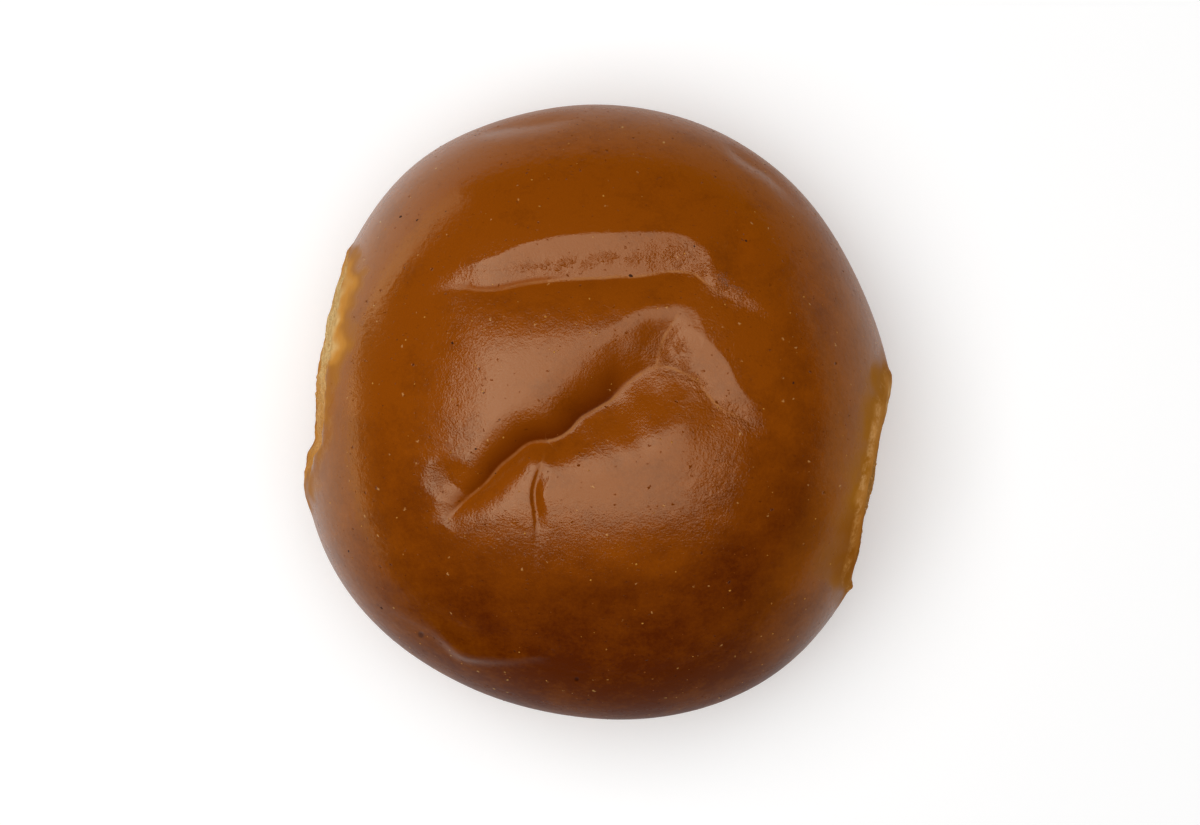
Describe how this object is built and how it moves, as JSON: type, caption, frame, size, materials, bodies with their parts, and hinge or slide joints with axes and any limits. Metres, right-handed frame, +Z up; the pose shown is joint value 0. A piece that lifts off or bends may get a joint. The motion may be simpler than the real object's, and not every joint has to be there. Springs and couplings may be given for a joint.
{
  "type": "potato bun",
  "caption": "Whole soft round bun with a glossy brown domed crust, a wrinkled and creased crown, torn pull-apart sides and a flat base.",
  "frame": {"origin": "centre of the flat base, under the middle of the bounding box, on the surface the bun rests on", "axes": "+Z up through the crown, +X towards the right-hand torn side, +Y along the longer plan width, away from the viewer of the picture's lower edge"},
  "size_m": [0.1014, 0.1054, 0.0523],
  "materials": {
    "crust": "glossy baked brown crust, paler matte crumb on the torn sides, matte brown base"
  },
  "bodies": {
    "root": {"bun": "crust"}
  },
  "joints": []
}
